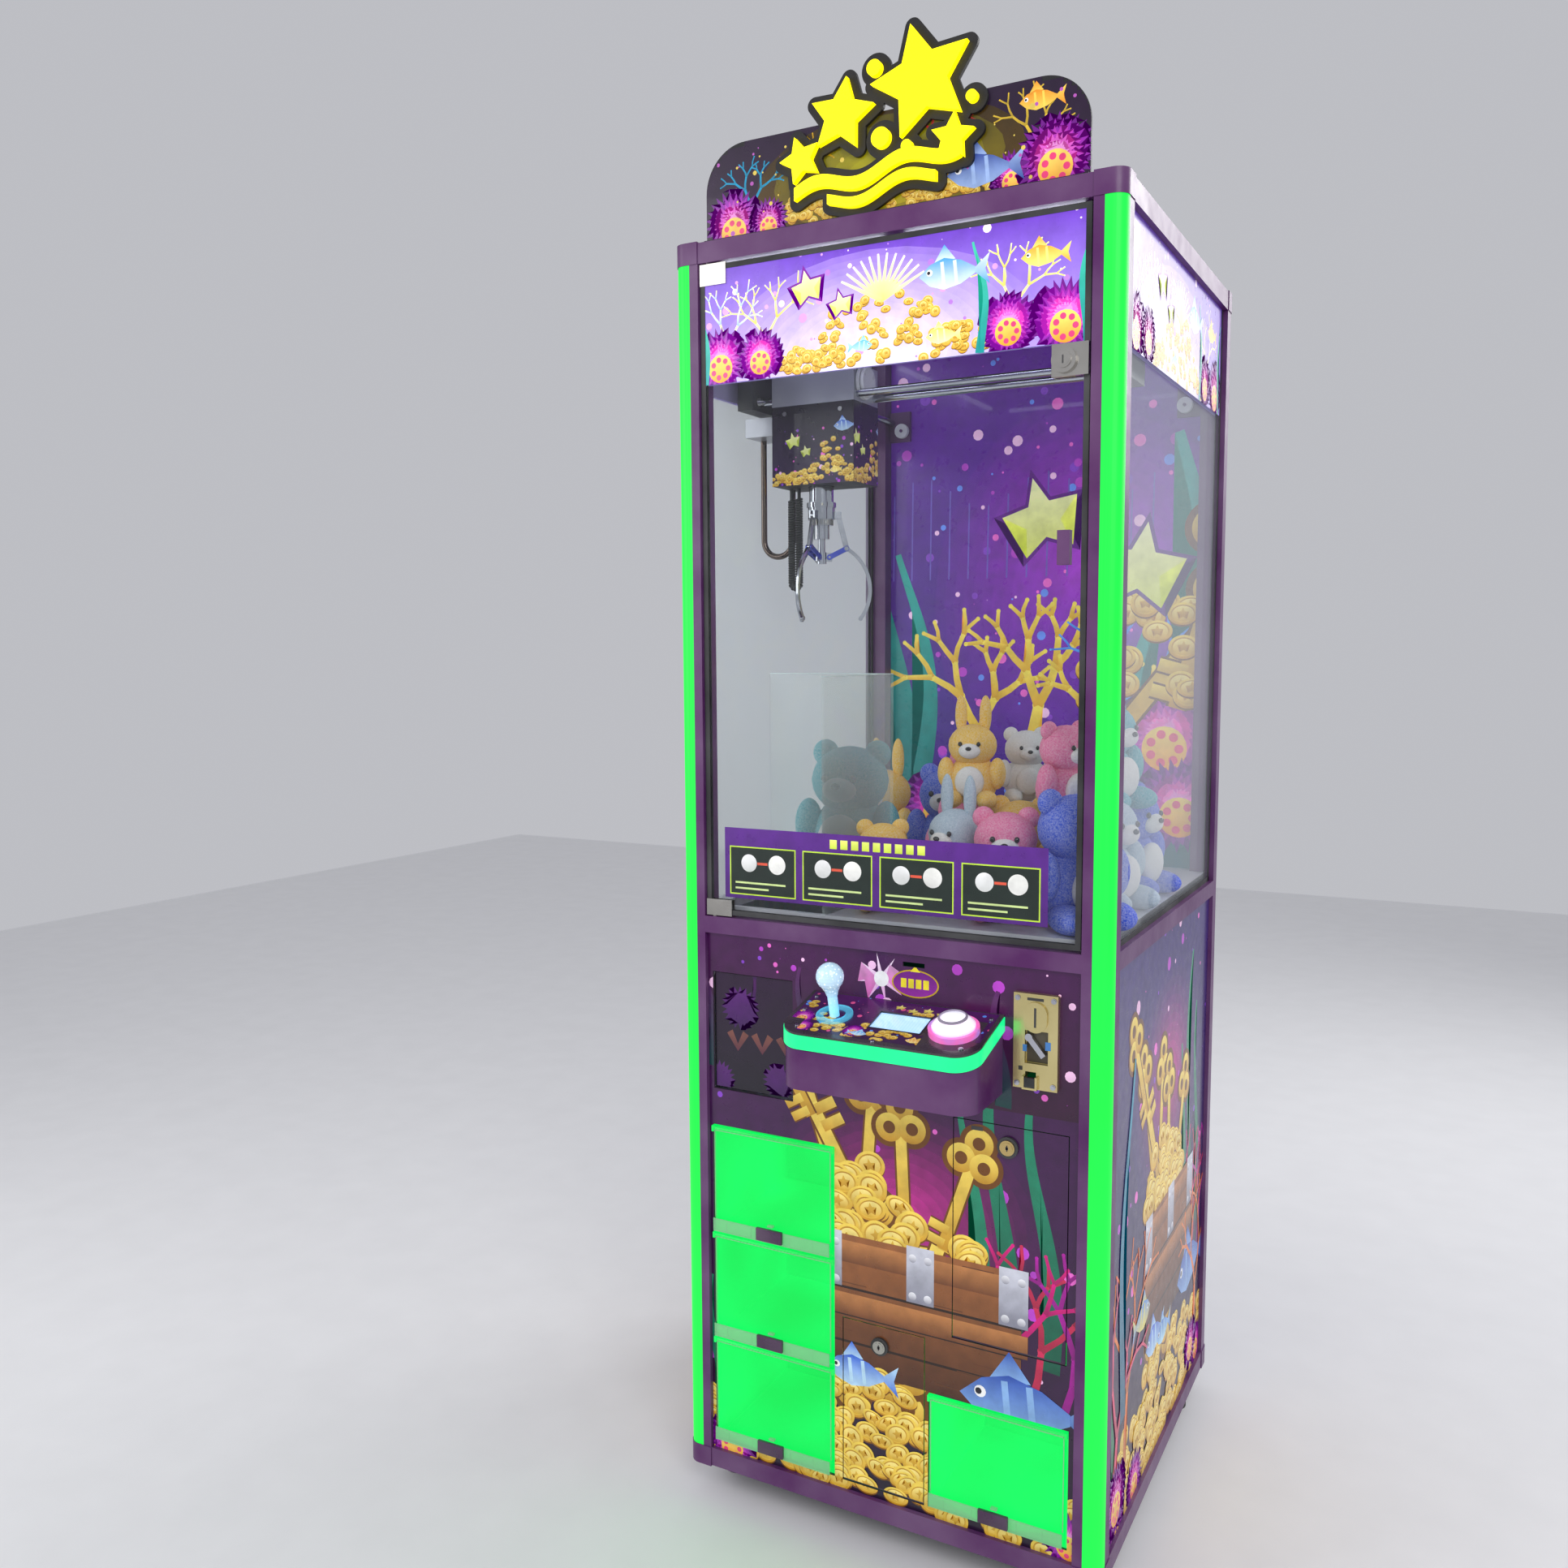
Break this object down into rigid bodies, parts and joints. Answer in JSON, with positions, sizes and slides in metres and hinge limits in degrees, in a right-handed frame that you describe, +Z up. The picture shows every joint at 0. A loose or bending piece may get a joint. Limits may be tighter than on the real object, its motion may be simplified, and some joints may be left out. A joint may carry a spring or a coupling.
{
  "type": "claw crane prize machine",
  "caption": "Free-standing claw crane with a glass play chamber, gantry crane, joystick console, coin acceptor, prize chute and lockable prize boxes.",
  "frame": {"origin": "on the floor, centred in plan under the outer box, console included", "axes": "+Z up, -Y out of the front with the door and console, +X to the player's right"},
  "size_m": [0.703, 0.8594, 2.2842],
  "materials": {
    "frame_paint": "satin",
    "led_diffuser": "glowing diffuser",
    "black_metal": "satin",
    "grey_steel": "plated",
    "chrome": "polished",
    "clear_glass": "clear",
    "clear_acrylic": "clear",
    "printed_panel": "printed film",
    "printed_side": "printed film",
    "white_deck": "matte",
    "gold_plate": "plated",
    "green_box": "translucent",
    "sign_glow": "glowing",
    "screen_glass": "display",
    "black_rubber": "matte",
    "board_green": "lacquered",
    "white_plastic": "gloss",
    "bronze_tube": "satin"
  },
  "bodies": {
    "root": {"corner_posts": "frame_paint", "frame_rails": "frame_paint", "corner_caps": "frame_paint", "led_corner_strips": "led_diffuser", "cover_plates": "black_metal", "play_deck": "white_deck", "rear_wall": "printed_side", "side_panels": "printed_side", "side_glasses": "clear_glass", "front_panel": "printed_panel", "chute_walls": "clear_acrylic", "chute_duct": "grey_steel", "console_box": "frame_paint", "console_deck": "printed_panel", "console_led_band": "led_diffuser", "joystick_base": "clear_acrylic", "button_ring": "white_plastic", "screen_module": "screen_glass", "coin_acceptor": "gold_plate", "prize_boxes": "green_box", "sign_board": "printed_panel", "sign_emblem": "sign_glow", "levelling_feet": "black_rubber", "depth_rails": "chrome", "rail_brackets": "frame_paint", "power_unit": "grey_steel", "control_board": "board_green", "cash_box": "grey_steel", "dome_screws": "chrome"},
    "bridge": {"bridge_carriages": "black_metal", "bridge_rods": "chrome"},
    "trolley": {"trolley_body": "grey_steel", "crane_box": "printed_panel", "bent_tube": "bronze_tube", "coiled_cord": "black_rubber", "claw_cord": "black_rubber"},
    "winch": {"winch_drum": "grey_steel"},
    "claw": {"claw_housing": "chrome"},
    "plunger": {"claw_plunger": "chrome"},
    "arm_a": {"claw_arm_a": "chrome"},
    "arm_b": {"claw_arm_b": "chrome"},
    "arm_c": {"claw_arm_c": "chrome"},
    "link_a": {"claw_link_a": "chrome"},
    "link_b": {"claw_link_b": "chrome"},
    "link_c": {"claw_link_c": "chrome"},
    "pulley_left": {"idler_pulley_left": "white_plastic"},
    "pulley_right": {"idler_pulley_right": "white_plastic"},
    "door": {"glass_door": "clear_glass", "glass_door_fittings": "grey_steel"},
    "prize_door_1": {"prize_door_top": "clear_acrylic"},
    "prize_door_2": {"prize_door_middle": "clear_acrylic"},
    "prize_door_3": {"prize_door_bottom": "clear_acrylic"},
    "prize_door_4": {"prize_door_right": "clear_acrylic"},
    "flap": {"prize_flap": "printed_panel"},
    "service": {"service_door": "printed_panel"},
    "small": {"small_door": "printed_panel"},
    "gimbal": {"joystick_gimbal": "grey_steel"},
    "stick": {"joystick_stick": "clear_acrylic"},
    "button": {"button_dome": "white_plastic"},
    "lever": {"reject_lever": "chrome"}
  },
  "joints": [
    {"name": "bridge_slide", "type": "slide", "parent": "root", "child": "bridge", "axis": [0, 1, 0], "range_m": [-0.03, 0.4]},
    {"name": "trolley_slide", "type": "slide", "parent": "bridge", "child": "trolley", "axis": [1, 0, 0], "range_m": [-0.01, 0.38]},
    {"name": "claw_drop", "type": "slide", "parent": "trolley", "child": "claw", "axis": [0, 0, -1], "range_m": [0, 0.42], "deforming": ["claw_cord"]},
    {"name": "winch_spin", "type": "hinge", "parent": "trolley", "child": "winch", "pos_m": [-0.193, -0.10275, 1.745], "axis": [1, 0, 0], "continuous": true},
    {"name": "plunger_pull", "type": "slide", "parent": "claw", "child": "plunger", "axis": [0, 0, -1], "range_m": [0, 0.017]},
    {"name": "arm_close_a", "type": "hinge", "parent": "claw", "child": "arm_a", "pos_m": [-0.16844, -0.1063, 1.629], "axis": [-0.4802, 0.8771, 0], "range_deg": [0, 15.01]},
    {"name": "link_turn_a", "type": "hinge", "parent": "plunger", "child": "link_a", "pos_m": [-0.1816, -0.11351, 1.563], "axis": [0.4802, -0.8771, 0], "range_deg": [0, 37.95]},
    {"name": "arm_close_b", "type": "hinge", "parent": "claw", "child": "arm_b", "pos_m": [-0.21692, -0.1052, 1.629], "axis": [-0.5195, -0.8545, 0], "range_deg": [0, 15.01]},
    {"name": "link_turn_b", "type": "hinge", "parent": "plunger", "child": "link_b", "pos_m": [-0.20411, -0.113, 1.563], "axis": [0.5195, 0.8545, 0], "range_deg": [0, 37.95]},
    {"name": "arm_close_c", "type": "hinge", "parent": "claw", "child": "arm_c", "pos_m": [-0.19364, -0.14774, 1.629], "axis": [0.9997, -0.0227, 0], "range_deg": [0, 15.01]},
    {"name": "link_turn_c", "type": "hinge", "parent": "plunger", "child": "link_c", "pos_m": [-0.19329, -0.13275, 1.563], "axis": [-0.9997, 0.0227, 0], "range_deg": [0, 37.95]},
    {"name": "pulley_left_spin", "type": "hinge", "parent": "root", "child": "pulley_left", "pos_m": [-0.277, 0.39425, 1.846], "axis": [0, 1, 0], "continuous": true},
    {"name": "pulley_right_spin", "type": "hinge", "parent": "root", "child": "pulley_right", "pos_m": [0.277, 0.39425, 1.846], "axis": [0, 1, 0], "continuous": true},
    {"name": "door_hinge", "type": "hinge", "parent": "root", "child": "door", "pos_m": [-0.292, -0.30375, 0.988], "axis": [0, 0, -1], "range_deg": [0, 110]},
    {"name": "prize_door_1_hinge", "type": "hinge", "parent": "root", "child": "prize_door_1", "pos_m": [-0.19, -0.30675, 0.637], "axis": [-1, 0, 0], "range_deg": [0, 100]},
    {"name": "prize_door_2_hinge", "type": "hinge", "parent": "root", "child": "prize_door_2", "pos_m": [-0.19, -0.30675, 0.457], "axis": [-1, 0, 0], "range_deg": [0, 100]},
    {"name": "prize_door_3_hinge", "type": "hinge", "parent": "root", "child": "prize_door_3", "pos_m": [-0.19, -0.30675, 0.277], "axis": [-1, 0, 0], "range_deg": [0, 100]},
    {"name": "prize_door_4_hinge", "type": "hinge", "parent": "root", "child": "prize_door_4", "pos_m": [0.188, -0.30675, 0.279], "axis": [-1, 0, 0], "range_deg": [0, 100]},
    {"name": "flap_hinge", "type": "hinge", "parent": "root", "child": "flap", "pos_m": [-0.225, -0.29725, 0.8935], "axis": [1, 0, 0], "range_deg": [0, 60]},
    {"name": "service_hinge", "type": "hinge", "parent": "root", "child": "service", "pos_m": [0.204, -0.30375, 0.383], "axis": [1, 0, 0], "range_deg": [0, 90]},
    {"name": "small_hinge", "type": "hinge", "parent": "root", "child": "small", "pos_m": [0.004, -0.30375, 0.102], "axis": [1, 0, 0], "range_deg": [0, 90]},
    {"name": "stick_fore_aft", "type": "hinge", "parent": "root", "child": "gimbal", "pos_m": [-0.047, -0.3615, 0.84693], "axis": [1, 0, 0], "range_deg": [-12, 12], "stiffness_Nm_per_rad": 0.8},
    {"name": "stick_side", "type": "hinge", "parent": "gimbal", "child": "stick", "pos_m": [-0.047, -0.3615, 0.84693], "axis": [0, 0.9703, 0.2419], "range_deg": [-12, 12], "stiffness_Nm_per_rad": 0.8},
    {"name": "button_press", "type": "slide", "parent": "root", "child": "button", "axis": [0, 0.2419, -0.9703], "range_m": [0, 0.004], "stiffness_N_per_m": 900},
    {"name": "lever_press", "type": "hinge", "parent": "root", "child": "lever", "pos_m": [0.234, -0.31175, 0.862], "axis": [0, 1, 0], "range_deg": [0, 25], "stiffness_Nm_per_rad": 0.3}
  ],
  "couplings": [
    {"joint": "winch_spin", "follows": "claw_drop", "rad_per_m": 59.524},
    {"joint": "arm_close_a", "follows": "plunger_pull", "rad_per_m": 15.4},
    {"joint": "link_turn_a", "follows": "plunger_pull", "rad_per_m": 38.911},
    {"joint": "arm_close_b", "follows": "plunger_pull", "rad_per_m": 15.4},
    {"joint": "link_turn_b", "follows": "plunger_pull", "rad_per_m": 38.911},
    {"joint": "arm_close_c", "follows": "plunger_pull", "rad_per_m": 15.4},
    {"joint": "link_turn_c", "follows": "plunger_pull", "rad_per_m": 38.911}
  ]
}
